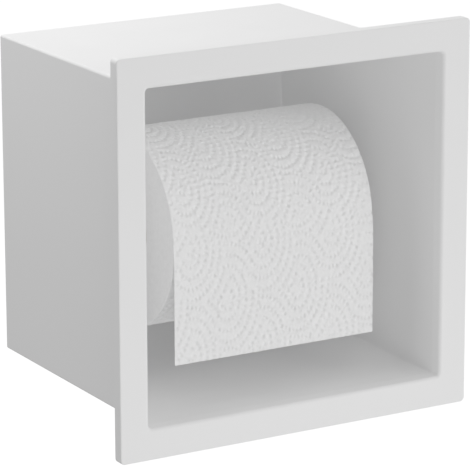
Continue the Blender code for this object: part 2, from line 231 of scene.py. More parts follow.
def solid(name, vertices, faces, weld=False, sharp_deg=40, weighted=False):
    """A closed mesh object whose faces look outward, shaded smooth up to an angle."""
    mesh = bpy.data.meshes.new(name)
    mesh.from_pydata(np.asarray(vertices).tolist(), [], faces)
    if weld:
        bm = bmesh.new()
        bm.from_mesh(mesh)
        bmesh.ops.remove_doubles(bm, verts=bm.verts, dist=1e-7)
        bm.to_mesh(mesh)
        bm.free()
    if signed_volume(mesh) < 0:
        mesh.flip_normals()
    mesh.shade_smooth()
    mesh.set_sharp_from_angle(angle=math.radians(sharp_deg))
    obj = link(name, mesh)
    if weighted:
        weigh_normals(obj)
    return obj


def weigh_normals(obj):
    """Large flat faces keep flat shading beside their rounded edges."""
    modifier = obj.modifiers.new("Flat faces", "WEIGHTED_NORMAL")
    modifier.keep_sharp = True
    modifier.weight = 100


def grid_faces(rows, columns, wrap_rows=False, wrap_columns=False):
    row = np.arange(rows if wrap_rows else rows - 1)
    column = np.arange(columns if wrap_columns else columns - 1)
    r, c = np.meshgrid(row, column, indexing="ij")
    next_r = (r + 1) % rows
    next_c = (c + 1) % columns
    corners = (r * columns + c, r * columns + next_c, next_r * columns + next_c, next_r * columns + c)
    return np.stack(corners, axis=-1).reshape(-1, 4).tolist()


def arc(centre_x, centre_y, radius, start_deg, end_deg, steps):
    angles = np.radians(np.linspace(start_deg, end_deg, steps + 1))
    return [(centre_x + radius * math.cos(a), centre_y + radius * math.sin(a)) for a in angles]


def rounded_square(half, radius, steps=8):
    """Corner points of a square of half width `half`, its corners rounded."""
    inner = half - radius
    points = []
    for quarter, (sx, sz) in enumerate(((1, 1), (-1, 1), (-1, -1), (1, -1))):
        points += arc(sx * inner, sz * inner, radius, 90 * quarter, 90 * quarter + 90, steps)
    return points


def rounded(points, radii, steps=5):
    """A closed outline with an arc of the given radius at each corner; a radius of 0 keeps it sharp."""
    count = len(points)
    result = []
    for i, point in enumerate(points):
        here = Vector(point)
        before = (Vector(points[i - 1]) - here).normalized()
        after = (Vector(points[(i + 1) % count]) - here).normalized()
        radius = radii[i] if hasattr(radii, "__len__") else radii
        angle = before.angle(after)
        if radius <= 0 or angle > math.pi - 1e-3:
            result.append(tuple(here))
            continue
        reach = radius / math.tan(angle / 2)
        centre = here + (before + after).normalized() * (radius / math.sin(angle / 2))
        first = here + before * reach - centre
        last = here + after * reach - centre
        turn = math.pi - angle
        sign = 1 if first.x * last.y - first.y * last.x > 0 else -1
        for k in range(steps + 1):
            step = sign * turn * k / steps
            x = first.x * math.cos(step) - first.y * math.sin(step)
            y = first.x * math.sin(step) + first.y * math.cos(step)
            result.append((centre.x + x, centre.y + y))
    return result


def swept_square(name, profile, capped=False):
    """Sweep profile points of (half width, y, corner radius) round the square box."""
    steps = 8
    vertices = []
    for half, y, corner in profile:
        vertices += [(x, y, z) for x, z in rounded_square(half, corner, steps)]
    columns = 4 * (steps + 1)
    faces = grid_faces(len(profile), columns, wrap_rows=not capped, wrap_columns=True)
    if capped:
        faces.append(list(range(columns))[::-1])
        faces.append(list(range((len(profile) - 1) * columns, len(profile) * columns)))
    return solid(name, vertices, faces, sharp_deg=30, weighted=True)


def lathe(name, profile, matrix, steps=96, weighted=True):
    """Turn (radius, height) points about the local Z axis; points at radius 0 close the ends."""
    angles = np.linspace(0, 2 * math.pi, steps, endpoint=False)
    radius = np.array([p[0] for p in profile])[:, None]
    height = np.array([p[1] for p in profile])[:, None]
    flat = np.zeros(steps)
    points = np.stack(
        [radius * np.cos(angles), radius * np.sin(angles), height + flat], axis=-1
    ).reshape(-1, 3)
    on_axis = profile[0][0] == 0 and profile[-1][0] == 0
    faces = grid_faces(len(profile), steps, wrap_rows=not on_axis, wrap_columns=True)
    rows = np.array(matrix)
    placed = points @ rows[:3, :3].T + rows[:3, 3]
    return solid(name, placed, faces, weld=on_axis, sharp_deg=35, weighted=weighted)


def finish_piece(obj, material, body, slot, *nodes):
    """Give a piece its material and the body it moves with, and hide the CAD nodes it stands for; its slot is
    not used.
    """
    obj.data.materials.clear()
    obj.data.materials.append(material)
    if body:
        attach(obj, body)
    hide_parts(*nodes)
    return obj


# ---------------------------------------------------------------- materials


def new_material(name, colour, roughness, metallic=0.0, specular=0.5):
    material = bpy.data.materials.new(name)
    material.use_nodes = True
    tree = material.node_tree
    shader = tree.nodes["Principled BSDF"]
    shader.inputs["Base Color"].default_value = (*colour, 1)
    shader.inputs["Roughness"].default_value = roughness
    shader.inputs["Metallic"].default_value = metallic
    shader.inputs["Specular IOR Level"].default_value = specular
    return material, tree, shader


def coordinates(tree, stretch=(1, 1, 1)):
    """Object coordinates, which are metres in the row's frame, stretched along an axis if asked."""
    source = tree.nodes.new("ShaderNodeTexCoord").outputs["Object"]
    if stretch == (1, 1, 1):
        return source
    mapping = tree.nodes.new("ShaderNodeMapping")
    mapping.inputs["Scale"].default_value = stretch
    tree.links.new(source, mapping.inputs["Vector"])
    return mapping.outputs["Vector"]


def noise(tree, vector, scale, detail=3, roughness=0.55):
    node = tree.nodes.new("ShaderNodeTexNoise")
    node.inputs["Scale"].default_value = scale
    node.inputs["Detail"].default_value = detail
    node.inputs["Roughness"].default_value = roughness
    tree.links.new(vector, node.inputs["Vector"])
    return node.outputs["Fac"]


def vary_colour(tree, shader, fac, dark, light, low=0.3, high=0.7):
    ramp = tree.nodes.new("ShaderNodeValToRGB")
    ramp.color_ramp.elements[0].position = low
    ramp.color_ramp.elements[0].color = (*dark, 1)
    ramp.color_ramp.elements[1].position = high
    ramp.color_ramp.elements[1].color = (*light, 1)
    tree.links.new(fac, ramp.inputs["Fac"])
    tree.links.new(ramp.outputs["Color"], shader.inputs["Base Color"])
    return ramp


def vary_roughness(tree, shader, fac, low, high):
    span = tree.nodes.new("ShaderNodeMapRange")
    span.inputs["From Min"].default_value = 0.3
    span.inputs["From Max"].default_value = 0.7
    span.inputs["To Min"].default_value = low
    span.inputs["To Max"].default_value = high
    tree.links.new(fac, span.inputs["Value"])
    tree.links.new(span.outputs["Result"], shader.inputs["Roughness"])


def bump(tree, shader, height, strength, distance, below=None):
    node = tree.nodes.new("ShaderNodeBump")
    node.inputs["Strength"].default_value = strength
    node.inputs["Distance"].default_value = distance
    tree.links.new(height, node.inputs["Height"])
    if below is not None:
        tree.links.new(below, node.inputs["Normal"])
    tree.links.new(node.outputs["Normal"], shader.inputs["Normal"])
    return node.outputs["Normal"]


def powder_coat():
    """White satin powder coat: even colour, a fine orange-peel skin."""
    material, tree, shader = new_material("white_powder_coat", (0.88, 0.88, 0.88), 0.5)
    vector = coordinates(tree)
    vary_colour(tree, shader, noise(tree, vector, 14), (0.875,) * 3, (0.885,) * 3)
    vary_roughness(tree, shader, noise(tree, vector, 60), 0.46, 0.54)
    peel = bump(tree, shader, noise(tree, vector, 700, detail=1), 0.25, 0.00002)
    bump(tree, shader, noise(tree, vector, 4200, detail=2), 0.2, 0.000006, below=peel)
    return material


def tissue():
    """Soft matt paper: short fibres lying mostly round the roll, and its dents darkened by their depth as
    painted shade.
    """
    material, tree, shader = new_material("tissue", (0.88, 0.88, 0.88), 0.95, specular=0.2)
    vector = coordinates(tree)
    ramp = vary_colour(tree, shader, noise(tree, vector, 620, detail=4), (0.85,) * 3, (0.95,) * 3)
    dent = tree.nodes.new("ShaderNodeAttribute")
    dent.attribute_name = "dent"
    # Painted shade: the colour is mixed towards a darker grey by each dent's depth.
    dent_shade_mix = tree.nodes.new("ShaderNodeMix")
    dent_shade_mix.data_type = "RGBA"
    dent_shade_mix.inputs["B"].default_value = (*DENT_SHADE_GREY, 1)
    tree.links.new(dent.outputs["Fac"], dent_shade_mix.inputs["Factor"])
    tree.links.new(ramp.outputs["Color"], dent_shade_mix.inputs["A"])
    tree.links.new(dent_shade_mix.outputs["Result"], shader.inputs["Base Color"])
    fibres = noise(tree, coordinates(tree, (3.0, 1.0, 1.0)), 1500, detail=3, roughness=0.7)
    relief = bump(tree, shader, dent.outputs["Fac"], 1.0, -DENT_BUMP)
    crepe = bump(tree, shader, fibres, 0.8, 0.00012, below=relief)
    bump(tree, shader, noise(tree, vector, 5200, detail=2), 0.3, 0.00001, below=crepe)
    return material


def cardboard():
    """Grey-brown board with specks and fibres."""
    material, tree, shader = new_material("core_board", (0.45, 0.34, 0.24), 0.9, specular=0.25)
    vector = coordinates(tree)
    fibres = noise(tree, coordinates(tree, (1.0, 3.5, 3.5)), 420, detail=6, roughness=0.7)
    vary_colour(tree, shader, fibres, (0.25, 0.165, 0.095), (0.40, 0.29, 0.19))
    rough = bump(tree, shader, fibres, 0.4, 0.00006)
    bump(tree, shader, noise(tree, vector, 3000, detail=3), 0.3, 0.00002, below=rough)
    return material


def polished(name, colour, roughness, spread, stretch=(1, 1, 1), scale=900, depth=0.000004):
    """Metal with faint marks; `stretch` draws them out along an axis."""
    material, tree, shader = new_material(name, colour, roughness, metallic=1.0)
    marks = noise(tree, coordinates(tree, stretch), scale, detail=3)
    vary_roughness(tree, shader, marks, roughness - spread, roughness + spread)
    dark = tuple(0.96 * c for c in colour)
    vary_colour(tree, shader, noise(tree, coordinates(tree), 120), dark, colour)
    bump(tree, shader, marks, 0.2, depth)
    return material


def moulded(name, colour, roughness, scale, depth):
    """Moulded plastic: faint cloudiness and a fine skin."""
    material, tree, shader = new_material(name, colour, roughness)
    vector = coordinates(tree)
    dark = tuple(0.97 * c for c in colour)
    vary_colour(tree, shader, noise(tree, vector, 90), dark, colour)
    vary_roughness(tree, shader, noise(tree, vector, 300), roughness - 0.04, roughness + 0.04)
    bump(tree, shader, noise(tree, vector, scale, detail=2), 0.3, depth)
    return material


def foam():
    """Closed-cell foam: small round cells."""
    material, tree, shader = new_material("grey_foam", (0.08, 0.08, 0.085), 0.92, specular=0.25)
    vector = coordinates(tree)
    cells = tree.nodes.new("ShaderNodeTexVoronoi")
    cells.inputs["Scale"].default_value = 1500
    tree.links.new(vector, cells.inputs["Vector"])
    vary_colour(tree, shader, cells.outputs["Distance"], (0.05, 0.05, 0.055), (0.11, 0.11, 0.115), 0.1, 0.6)
    bump(tree, shader, cells.outputs["Distance"], 0.6, 0.0002)
    return material


def floor_material():
    """Plain white studio floor, glowing more for the eye than for the object so that it reads as white."""
    material, tree, shader = new_material("studio_floor", (0.55, 0.55, 0.55), 0.9, specular=0.1)
    vary_colour(tree, shader, noise(tree, coordinates(tree), 3), (0.545,) * 3, (0.555,) * 3)
    shader.inputs["Emission Color"].default_value = (1, 1, 1, 1)
    seen = tree.nodes.new("ShaderNodeMapRange")
    seen.inputs["To Min"].default_value = FLOOR_GLOW
    seen.inputs["To Max"].default_value = FLOOR_GLOW_SEEN
    tree.links.new(tree.nodes.new("ShaderNodeLightPath").outputs["Is Camera Ray"], seen.inputs["Value"])
    tree.links.new(seen.outputs["Result"], shader.inputs["Emission Strength"])
    return material


WHITE = powder_coat()
TISSUE = tissue()
BOARD = cardboard()
CHROME = polished("chrome_plate", (0.80, 0.80, 0.81), 0.08, 0.03, (0.2, 1, 1))
ZINC = polished("zinc_plate", (0.62, 0.63, 0.62), 0.33, 0.06)
SPRING_STEEL = polished("spring_wire", (0.50, 0.50, 0.49), 0.30, 0.08, (1, 2, 2), 1400)
NYLON = moulded("natural_nylon", (0.78, 0.77, 0.73), 0.48, 1800, 0.00001)
GLOSS_PLASTIC = moulded("white_moulding", (0.80, 0.80, 0.79), 0.22, 900, 0.000004)
FOAM = foam()


# ---------------------------------------------------------------- sheet-metal box


def pressed_flange():
    """The square frame: flared return, rolled rim, flat face, outer fold and outer return."""
    inside = arc(OPENING_HALF + RIM_RADIUS, FACE_Y + RIM_RADIUS, RIM_RADIUS, 180, 270, 10)
    fold = arc(FLANGE_HALF - FOLD_RADIUS, FACE_Y + FOLD_RADIUS, FOLD_RADIUS, -90, 0, 8)
    lip = arc(FLANGE_HALF - EDGE_ROUND, -EDGE_ROUND, EDGE_ROUND, 0, 90, 3)
    back_y = FACE_Y + SHEET
    channel_outer = FLANGE_HALF - SHEET
    channel_inner = OPENING_HALF + SHEET
    far = fold + lip + [(channel_outer, 0.0), (channel_outer, back_y)]
    back = [(channel_inner, back_y), (channel_inner, 0.0)]
    profile = [(WALL_INSIDE + WALL_SPLAY, 0.0, WALL_CORNER)]
    profile += [(h, y, OPENING_CORNER + h - OPENING_HALF) for h, y in inside]
    profile += [(h, y, max(OUTER_CORNER + h - FLANGE_HALF, EDGE_ROUND)) for h, y in far]
    profile += [(h, y, OPENING_CORNER + h - OPENING_HALF) for h, y in back]
    return swept_square("flange_face", profile)


def wall_strip():
    """The four walls, folded from one strip and splayed a little towards the flange."""
    rear_in = arc(WALL_INSIDE + EDGE_ROUND, REAR_Y - EDGE_ROUND, EDGE_ROUND, 180, 90, 3)
    rear_out = arc(WALL_HALF - EDGE_ROUND, REAR_Y - EDGE_ROUND, EDGE_ROUND, 90, 0, 3)
    outline = [(WALL_INSIDE + WALL_SPLAY, 0.0)] + rear_in + rear_out + [(WALL_HALF + WALL_SPLAY, 0.0)]
    profile = [(h, y, WALL_CORNER + h - WALL_INSIDE) for h, y in outline]
    return swept_square("wall_strip", profile)


def rear_panel():
    """The plate that closes the box, with the coat's fillet in its inside corners."""
    front = PANEL_LOW.y
    curve = arc(WALL_INSIDE - COAT_FILLET, front - COAT_FILLET, COAT_FILLET, 90, 0, 6)
    outline = curve + [(WALL_INSIDE, PANEL_HIGH.y)]
    profile = [(h, y, max(WALL_CORNER + h - WALL_INSIDE, EDGE_ROUND)) for h, y in outline]
    return swept_square("rear_panel", profile, capped=True)


def foam_strip():
    """The seal in the flange's channel, its long edges slightly rounded."""
    outer = SEAL_HIGH.x
    inner = outer - SEAL_WIDTH
    low, high = SEAL_LOW.y, SEAL_HIGH.y
    outline = rounded([(inner, low), (outer, low), (outer, high), (inner, high)], SEAL_EDGE, 4)
    profile = [(h, y, SEAL_CORNER + h - inner) for h, y in outline]
    return swept_square("foam_strip", profile)


def box_pieces():
    finish_piece(pressed_flange(), WHITE, "holder", "white_coated_steel", "front_flange")
    finish_piece(wall_strip(), WHITE, "holder", "white_coated_steel", "box_wrap")
    finish_piece(rear_panel(), WHITE, "holder", "white_coated_steel", "back_panel")
    finish_piece(foam_strip(), FOAM, "holder", "seal_foam", "wall_seal")


# ---------------------------------------------------------------- yoke and its fastenings


def prism(name, outline, thickness, matrix):
    """A flat outline given thickness along its local Z axis, centred on it."""
    bm = bmesh.new()
    bottom = [bm.verts.new((x, y, -thickness / 2)) for x, y in outline]
    face = bm.faces.new(bottom)
    made = bmesh.ops.extrude_face_region(bm, geom=[face])["geom"]
    top = [item for item in made if isinstance(item, bmesh.types.BMVert)]
    bmesh.ops.translate(bm, verts=top, vec=(0, 0, thickness))
    bmesh.ops.recalc_face_normals(bm, faces=bm.faces)
    mesh = bpy.data.meshes.new(name)
    bm.to_mesh(mesh)
    bm.free()
    mesh.transform(matrix)
    return link(name, mesh)


def boolean(obj, tool, operation):
    modifier = obj.modifiers.new(tool.name, "BOOLEAN")
    modifier.operation = operation
    modifier.object = tool
    modifier.solver = "EXACT"


def apply_modifiers(obj, *tools):
    """Bake an object's modifiers into its mesh and remove the cutters they used."""
    evaluated = obj.evaluated_get(bpy.context.evaluated_depsgraph_get())
    mesh = bpy.data.meshes.new_from_object(evaluated)
    obj.modifiers.clear()
    obj.data = mesh
    for tool in tools:
        bpy.data.objects.remove(tool, do_unlink=True)


def yoke_plan():
    """The strip seen from above: its two arms and the web behind the roll."""
    outer = YOKE_HIGH.x
    inner = outer - YOKE_SHEET
    front = YOKE_LOW.y
    back = YOKE_HIGH.y
    bend_x = outer - YOKE_BEND
    bend_y = back - YOKE_BEND
    inner_bend = YOKE_BEND - YOKE_SHEET
    points = [(inner, front), (outer, front)]
    points += arc(bend_x, bend_y, YOKE_BEND, 0, 90, 12)
    points += arc(-bend_x, bend_y, YOKE_BEND, 90, 180, 12)
    points += [(-outer, front), (-inner, front)]
    points += arc(-bend_x, bend_y, inner_bend, 180, 90, 10)
    points += arc(bend_x, bend_y, inner_bend, 90, 0, 10)
    return points


def yoke_bracket():
    """The bent strip, its arm ends rounded, bored for the bushes, all its edges broken."""
    height = YOKE_HIGH.z - YOKE_LOW.z
    obj = prism("yoke_bracket", yoke_plan(), height, Matrix.Translation((0, 0, SPINDLE.z)))
    radius = height / 2
    side = arc(SPINDLE.y, SPINDLE.z, radius, 90, 270, 32)
    side += [(REAR_Y, SPINDLE.z - 2 * radius), (REAR_Y, SPINDLE.z + 2 * radius)]
    turn = Matrix(((0, 0, 1, 0), (1, 0, 0, 0), (0, 1, 0, 0), (0, 0, 0, 1)))
    ends = prism("yoke_ends", side, 3 * YOKE_HIGH.x, turn)
    boolean(obj, ends, "INTERSECT")
    place = Matrix.Translation((0, SPINDLE.y, SPINDLE.z)) @ Matrix.Rotation(math.radians(90), 4, "Y")
    hole = prism("yoke_holes", arc(0, 0, BUSH_BODY_RADIUS, 0, 352.5, 47), 3 * YOKE_HIGH.x, place)
    boolean(obj, hole, "DIFFERENCE")
    apply_modifiers(obj, ends, hole)
    bevel = obj.modifiers.new("Broken edges", "BEVEL")
    bevel.width = YOKE_EDGE
    bevel.segments = 2
    bevel.limit_method = "ANGLE"
    bevel.angle_limit = math.radians(40)
    obj.data.shade_smooth()
    obj.data.set_sharp_from_angle(angle=math.radians(40))
    weigh_normals(obj)
    return obj


def outward(x_sign):
    """Local Z along the spindle, pointing outward on that side."""
    turn = Matrix.Rotation(math.radians(90 * x_sign), 4, "Y")
    return Matrix.Translation((0, SPINDLE.y, SPINDLE.z)) @ turn


def from_panel(x):
    """Local Z out of the back panel, towards the room, through a stud at this x."""
    turn = Matrix.Rotation(math.radians(90), 4, "X")
    return Matrix.Translation((x, 0, SPINDLE.z)) @ turn


def threaded_stud(side, x):
    """A weld stud: thread to the end and a chamfered tip."""
    radius = (STUD_HIGH.x - STUD_LOW.x) / 2
    base = -STUD_HIGH.y
    tip = -STUD_LOW.y
    around = 40
    along = np.arange(base, tip, THREAD_PITCH / 10)
    angles = np.linspace(0, 2 * math.pi, around, endpoint=False)
    height, angle = np.meshgrid(along, angles, indexing="ij")
    phase = (height / THREAD_PITCH - angle / (2 * math.pi)) % 1.0
    ridge = np.clip(1.5 - np.abs(phase - 0.5) * 4, 0, 1)
    chamfer = np.clip((tip - height) / THREAD_PITCH, 0, 1)
    full = radius - THREAD_DEPTH * (1 - ridge)
    width = np.minimum(full, radius - THREAD_DEPTH * (1 - chamfer))
    body = np.stack([width * np.cos(angle), width * np.sin(angle), height], axis=-1).reshape(-1, 3)
    ends = np.array([[0, 0, base], [0, 0, along[-1]]])
    vertices = np.vstack([body, ends])
    faces = grid_faces(len(along), around, wrap_columns=True)
    last = (len(along) - 1) * around
    for k in range(around):
        following = (k + 1) % around
        faces.append([len(body), following, k])
        faces.append([len(body) + 1, last + k, last + following])
    rows = np.array(from_panel(x))
    placed = vertices @ rows[:3, :3].T + rows[:3, 3]
    return solid(f"threaded_stud_{side}", placed, faces, sharp_deg=50)


def plain_washer(side, x):
    radius = (WASHER_HIGH.x - WASHER_LOW.x) / 2
    bore = (STUD_HIGH.x - STUD_LOW.x) / 2 + WASHER_CLEARANCE
    low, high = -WASHER_HIGH.y, -WASHER_LOW.y
    outline = rounded([(radius, high), (radius, low), (bore, low), (bore, high)], WASHER_EDGE, 3)
    return lathe(f"plain_washer_{side}", outline, from_panel(x), steps=64)


def hex_nut(side, x):
    """A hexagon nut with chamfered corners and a countersunk bore."""
    flats = (NUT_HIGH.z - NUT_LOW.z) / 2
    bore = (STUD_HIGH.x - STUD_LOW.x) / 2 + NUT_CLEARANCE
    low, high = -NUT_HIGH.y, -NUT_LOW.y
    sink = 0.35 * MM
    around = 120
    angles = np.linspace(0, 2 * math.pi, around, endpoint=False)
    hexagon = flats / np.cos((angles + math.pi / 6) % (math.pi / 3) - math.pi / 6)
    round_face = flats * 0.97
    drop = (hexagon - round_face) * math.tan(math.radians(28))
    ones = np.ones(around)
    rings = [
        (bore * ones, (low + sink) * ones),
        ((bore + sink) * ones, low * ones),
        (round_face * ones, low * ones),
        (hexagon, low + drop),
        (hexagon, high - drop),
        (round_face * ones, high * ones),
        ((bore + sink) * ones, high * ones),
        (bore * ones, (high - sink) * ones),
    ]
    points = [np.stack([r * np.cos(angles), r * np.sin(angles), h], axis=-1) for r, h in rings]
    rows = np.array(from_panel(x))
    placed = np.vstack(points) @ rows[:3, :3].T + rows[:3, 3]
    faces = grid_faces(len(rings), around, wrap_rows=True, wrap_columns=True)
    return solid(f"hex_nut_{side}", placed, faces, sharp_deg=20, weighted=True)


def nylon_bush(side, sign):
    """A flanged bush with a blind bore for the nose pin."""
    face = BUSH_LOW.x
    end = BUSH_HIGH.x
    flange_back = YOKE_HIGH.x - YOKE_SHEET
    flange_radius = (BUSH_HIGH.z - BUSH_LOW.z) / 2
    bore = PIN_RADIUS + CLEARANCE
    floor = CAP_HIGH.x + PIN_END_PLAY
    points = [(0, end), (BUSH_BODY_RADIUS, end), (BUSH_BODY_RADIUS, flange_back)]
    points += [(flange_radius, flange_back), (flange_radius, face), (bore, face), (bore, floor), (0, floor)]
    radii = [0, 0.4 * MM, 0, 0.2 * MM, 0.35 * MM, 0.35 * MM, 0.2 * MM, 0]
    return lathe(f"nylon_bush_{side}", rounded(points, radii), outward(sign))


def yoke_pieces():
    finish_piece(yoke_bracket(), WHITE, "holder", "white_coated_steel", "roll_yoke")
    stud_x = (STUD_LOW.x + STUD_HIGH.x) / 2
    for side, sign in (("left", -1), ("right", 1)):
        steel = "fastener_steel"
        x = sign * stud_x
        finish_piece(threaded_stud(side, x), ZINC, "holder", steel, f"weld_stud_{side}")
        finish_piece(plain_washer(side, x), ZINC, "holder", steel, f"washer_{side}")
        finish_piece(hex_nut(side, x), ZINC, "holder", steel, f"yoke_nut_{side}")
        finish_piece(nylon_bush(side, sign), NYLON, "holder", "bush_nylon", f"pin_bush_{side}")


# ---------------------------------------------------------------- sprung spindle


def end_cap(side, sign):
    """A moulded end: nose pin, domed rim over the tube's edge, and the plug inside the tube."""
    tip = CAP_HIGH.x
    rim = SPINDLE_RADIUS
    face = SLIDE_HIGH.x + CLEARANCE + CAP_RIM
    rim_back = face - CAP_RIM
    plug = SPINDLE_RADIUS - TUBE_WALL
    plug_end = CAP_LOW.x
    points = [(0, tip), (PIN_RADIUS, tip), (PIN_RADIUS, face), (rim, face), (rim, rim_back)]
    points += [(plug, rim_back), (plug, plug_end), (0, plug_end)]
    radii = [0, 1.2 * MM, 0.6 * MM, 1.1 * MM, 0.25 * MM, 0, 0.5 * MM, 0]
    return lathe(f"end_cap_{side}", rounded(points, radii), outward(sign))


def outer_sleeve():
    """The wider half, with a lip rolled in at its open end."""
    left, right = SLEEVE_LOW.x, SLEEVE_HIGH.x
    bore = SPINDLE_RADIUS - TUBE_WALL
    lip = SLIDE_RADIUS + CLEARANCE
    thick = 1.2 * MM
    points = [(SPINDLE_RADIUS, right), (SPINDLE_RADIUS, left), (bore, left), (bore, right - thick)]
    points += [(lip, right - thick), (lip, right)]
    radii = [0.9 * MM, 0.2 * MM, 0.2 * MM, 0.3 * MM, 0.3 * MM, 0.3 * MM]
    return lathe("outer_sleeve", rounded(points, radii), outward(1))


def inner_sleeve():
    """The sliding half: a collar inside the outer one, a step, and a full-width grip end."""
    start, right = SLIDE_LOW.x, SLIDE_HIGH.x
    bore = SLIDE_RADIUS - TUBE_WALL
    collar = SPINDLE_RADIUS - TUBE_WALL - CLEARANCE
    rise = SPINDLE_RADIUS - SLIDE_RADIUS
    step_end = SLIDE_STEP_X - rise
    collar_end = start + COLLAR_LENGTH
    points = [(SPINDLE_RADIUS, right), (SPINDLE_RADIUS, SLIDE_STEP_X), (SLIDE_RADIUS, step_end)]
    points += [(SLIDE_RADIUS, collar_end), (collar, collar_end), (collar, start), (bore, start)]
    points += [(bore, step_end), (SPINDLE_RADIUS - TUBE_WALL, SLIDE_STEP_X)]
    points += [(SPINDLE_RADIUS - TUBE_WALL, right)]
    radii = [0.2 * MM, 1.2 * MM, 1.2 * MM, 0.3 * MM, 0.2 * MM]
    radii += [0.2 * MM, 0.2 * MM, 0.8 * MM, 0.8 * MM, 0.2 * MM]
    return lathe("inner_sleeve", rounded(points, radii), outward(1))


def coil_spring():
    """Round wire wound open, with a closed turn at each end."""
    start = SPRING_LOW.x + SPRING_WIRE / 2
    length = SPRING_HIGH.x - SPRING_LOW.x - SPRING_WIRE
    closed = SPRING_WIRE + SPRING_END_GAP
    per_turn = 44
    around = 14
    turn = np.linspace(0, SPRING_TURNS, SPRING_TURNS * per_turn + 1)
    open_pitch = (length - 2 * closed) / (SPRING_TURNS - 2)
    along = closed * np.clip(turn, 0, 1)
    along += open_pitch * np.clip(turn - 1, 0, SPRING_TURNS - 2)
    along += closed * np.clip(turn - (SPRING_TURNS - 1), 0, 1)
    radius = (SPRING_HIGH.z - SPRING_LOW.z) / 2 - SPRING_WIRE / 2
    angle = 2 * math.pi * turn
    out = np.stack([np.zeros_like(turn), np.cos(angle), np.sin(angle)], axis=-1)
    centre = np.stack([start + along, SPINDLE.y + 0 * turn, SPINDLE.z + 0 * turn], axis=-1) + radius * out
    side = np.array([1.0, 0, 0])
    around_angle = np.linspace(0, 2 * math.pi, around, endpoint=False)
    ring = out[:, None, :] * np.cos(around_angle)[None, :, None]
    ring = ring + side * np.sin(around_angle)[None, :, None]
    points = (centre[:, None, :] + SPRING_WIRE / 2 * ring).reshape(-1, 3)
    faces = grid_faces(len(turn), around, wrap_columns=True)
    faces.append(list(range(around)))
    faces.append([len(points) - 1 - k for k in range(around)])
    return solid("coil_spring", points, faces, sharp_deg=50)


def spindle_pieces():
    left, right = "spindle_left_half", "spindle_right_half"
    finish_piece(end_cap("left", -1), GLOSS_PLASTIC, left, "cap_plastic", "spindle_cap_left")
    finish_piece(end_cap("right", 1), GLOSS_PLASTIC, right, "cap_plastic", "spindle_cap_right")
    finish_piece(outer_sleeve(), CHROME, left, "spindle_chrome", "spindle_outer_tube")
    finish_piece(inner_sleeve(), CHROME, right, "spindle_chrome", "spindle_inner_tube")
    spring = finish_piece(coil_spring(), SPRING_STEEL, left, "spring_steel", "spindle_spring")
    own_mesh(spring)


# ---------------------------------------------------------------- paper


def ring_dots(centre_x, centre_s, first_ring, stretch):
    """Dots on the rings round one centre, as x, s pairs; the rings are drawn out along s."""
    dots = []
    ring = first_ring
    while ring < RING_LIMIT:
        count = max(round(2 * math.pi * ring / DOT_STEP), 1)
        for i in range(count):
            angle = 2 * math.pi * i / count - DOT_PHASE
            dots.append((centre_x + ring * math.cos(angle), centre_s + stretch * ring * math.sin(angle)))
        ring += RING_STEP
    return dots


def wave_centres(layout):
    """Every ring centre: columns stand side by side, each second one half a step further along."""
    centre_x, centre_s, step, _ = layout
    for column in range(-4, 5):
        for row in range(-5, 6):
            odd = column % 2
            yield centre_x + column * RING_COLUMN, centre_s + (2 * row + odd) * step, FIRST_RING[odd]


def belonging(x, s, centre_x, centre_s, stretch):
    """How far points lie outside the fan and the crest a ring centre owns: lowest wins."""
    across = x - centre_x
    along = (s - centre_s) / stretch
    costs = [((across - dx) / w) ** 2 + ((along - ds) / h) ** 2 for dx, ds, w, h in (FAN, CREST)]
    return np.minimum(*costs)


def wave_dots(layout, low, high):
    """The dots of one layout between two heights along s, each kept by the centre that owns it."""
    stretch = layout[3]
    centres = list(wave_centres(layout))
    dots, own = [], []
    for centre_x, centre_s, first_ring in centres:
        here = ring_dots(centre_x, centre_s, first_ring, stretch)
        here = [d for d in here if abs(d[0]) < ROLL_HALF and low <= d[1] < high]
        if here:
            points = np.array(here)
            dots.append(points)
            own.append(belonging(points[:, 0], points[:, 1], centre_x, centre_s, stretch))
    points = np.vstack(dots)
    own = np.concatenate(own)
    least = np.full(len(points), np.inf)
    for centre_x, centre_s, _ in centres:
        least = np.minimum(least, belonging(points[:, 0], points[:, 1], centre_x, centre_s, stretch))
    return [tuple(p) for p in points[own <= least + 1e-9]]


def spaced(dots, gap):
    """Drop each dot that lies closer than the gap to one already kept."""
    cells = {}
    kept = []
    for x, s in dots:
        i, j = int(x // gap), int(s // gap)
        near = [d for a in (-1, 0, 1) for b in (-1, 0, 1) for d in cells.get((i + a, j + b), [])]
        if all(math.hypot(x - nx, s - ns) >= gap for nx, ns in near):
            cells.setdefault((i, j), []).append((x, s))
            kept.append((x, s))
    return kept


def mound(xs, ss, x, s, size):
    """The patch of a grid of xs and ss round the point x, s, and a smooth mound of height 1 over it."""
    reach = 2.5 * size
    i0, i1 = np.searchsorted(xs, (x - reach, x + reach))
    j0, j1 = np.searchsorted(ss, (s - reach, s + reach))
    away = np.hypot(xs[None, i0:i1] - x, ss[j0:j1, None] - s)
    return (slice(j0, j1), slice(i0, i1)), np.exp(-((away / size) ** 2))


def emboss(xs, ss):
    """Height of the embossed paper over a grid: x across the roll, s down from where it leaves the roll."""
    rng = np.random.default_rng(11)
    height = np.zeros((len(ss), len(xs)))
    for (x, s), press in zip(WAVES, rng.uniform(0.65, 1.0, len(WAVES))):
        patch, shape = mound(xs, ss, x, s, DOT_SIZE)
        height[patch] = np.minimum(height[patch], -press * DOT_DEPTH * shape)
    places = rng.uniform((-ROLL_HALF, -ROLL_TURN), (ROLL_HALF, ROLL_TURN), (PEBBLES, 2))
    for (x, s), rise in zip(places, rng.uniform(-PEBBLE_HEIGHT, PEBBLE_HEIGHT, PEBBLES)):
        patch, shape = mound(xs, ss, x, s, PEBBLE_SIZE)
        height[patch] += rise * shape
    return height * np.clip((ROLL_HALF - np.abs(xs)) / CUT_EDGE, 0, 1)


